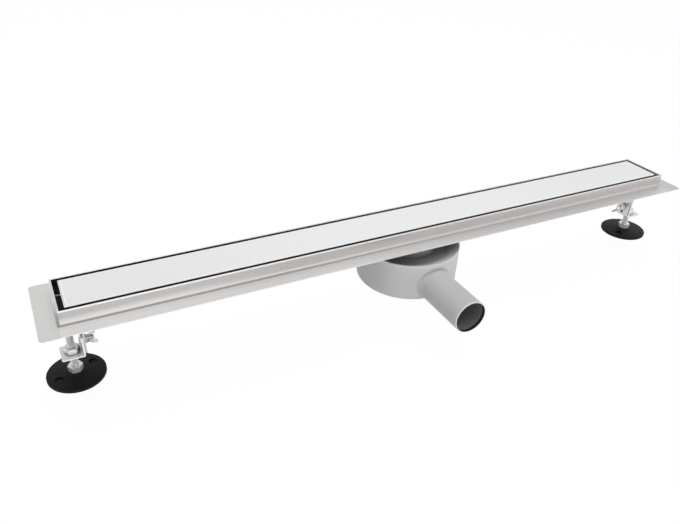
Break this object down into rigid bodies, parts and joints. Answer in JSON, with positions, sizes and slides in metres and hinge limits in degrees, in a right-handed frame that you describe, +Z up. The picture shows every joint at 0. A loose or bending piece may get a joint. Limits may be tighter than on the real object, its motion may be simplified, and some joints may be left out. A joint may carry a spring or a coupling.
{
  "type": "linear shower drain",
  "caption": "Linear shower drain: white glass cover in a steel tray, flanged stainless trough, swivelling odour trap with a side outlet, and levelling legs on disc feet.",
  "frame": {"origin": "middle of the cover's top face, level with the rim and the finished floor", "axes": "+X along the drain, -Y the way the outlet spigot points, +Z up"},
  "size_m": [1.064, 0.244, 0.1277],
  "materials": {
    "stainless": "stainless steel sheet, fine brushed",
    "zinc": "bright zinc plate",
    "white_glass": "toughened glass, white behind, polished edges",
    "grey_plastic": "moulded polypropylene, light grey, matt",
    "dark_plastic": "moulded polypropylene, dark grey, matt",
    "black_plastic": "moulded plastic, black, satin",
    "rubber": "moulded rubber, black",
    "sealant": "cured bonding strip"
  },
  "bodies": {
    "channel": {"channel": "stainless", "cover_tray": "stainless", "glass_panel": "white_glass", "glass_bedding": "sealant", "cover_pads": "rubber", "ledge_front_1": "stainless", "ledge_front_2": "stainless", "ledge_front_3": "stainless", "ledge_front_4": "stainless", "ledge_back_1": "stainless", "ledge_back_2": "stainless", "ledge_back_3": "stainless", "ledge_back_4": "stainless", "outlet_flange": "stainless", "ring_gasket": "rubber", "hanger_left": "stainless", "hanger_right": "stainless"},
    "trap": {"trap_body": "grey_plastic", "trap_lid": "grey_plastic", "locking_ring": "dark_plastic", "outlet_gasket": "rubber", "dip_tube": "dark_plastic", "dip_tube_seal": "rubber", "water_cup": "dark_plastic", "hair_strainer": "stainless"},
    "leg_left": {"leg_bracket_left": "zinc", "clamp_bolt_left": "zinc", "washer_left": "zinc", "shelf_nut_left": "zinc"},
    "wing_nut_left": {"wing_nut_left": "zinc"},
    "spindle_left": {"spindle_left": "zinc"},
    "foot_left": {"foot_left": "black_plastic"},
    "leg_right": {"leg_bracket_right": "zinc", "clamp_bolt_right": "zinc", "washer_right": "zinc", "shelf_nut_right": "zinc"},
    "wing_nut_right": {"wing_nut_right": "zinc"},
    "spindle_right": {"spindle_right": "zinc"},
    "foot_right": {"foot_right": "black_plastic"}
  },
  "joints": [
    {"name": "trap_swivel", "type": "hinge", "parent": "channel", "child": "trap", "pos_m": [0.01, 0, -0.0375], "axis": [0, 0, 1], "continuous": true},
    {"name": "left_leg_slide", "type": "slide", "parent": "channel", "child": "leg_left", "axis": [0, 0, 1], "range_m": [-0.008, 0.01]},
    {"name": "left_spindle_screw", "type": "slide", "parent": "leg_left", "child": "spindle_left", "axis": [0, 0, 1], "range_m": [-0.025, 0.012]},
    {"name": "left_foot_swivel", "type": "hinge", "parent": "spindle_left", "child": "foot_left", "pos_m": [-0.494, 0, -0.123], "axis": [0, 0, 1], "continuous": true},
    {"name": "left_wing_nut_turn", "type": "hinge", "parent": "leg_left", "child": "wing_nut_left", "pos_m": [-0.469, 0, -0.075], "axis": [1, 0, 0], "continuous": true},
    {"name": "right_leg_slide", "type": "slide", "parent": "channel", "child": "leg_right", "axis": [0, 0, 1], "range_m": [-0.008, 0.01]},
    {"name": "right_spindle_screw", "type": "slide", "parent": "leg_right", "child": "spindle_right", "axis": [0, 0, 1], "range_m": [-0.025, 0.012]},
    {"name": "right_foot_swivel", "type": "hinge", "parent": "spindle_right", "child": "foot_right", "pos_m": [0.494, 0, -0.123], "axis": [0, 0, 1], "continuous": true},
    {"name": "right_wing_nut_turn", "type": "hinge", "parent": "leg_right", "child": "wing_nut_right", "pos_m": [0.469, 0, -0.075], "axis": [1, 0, 0], "continuous": true}
  ]
}
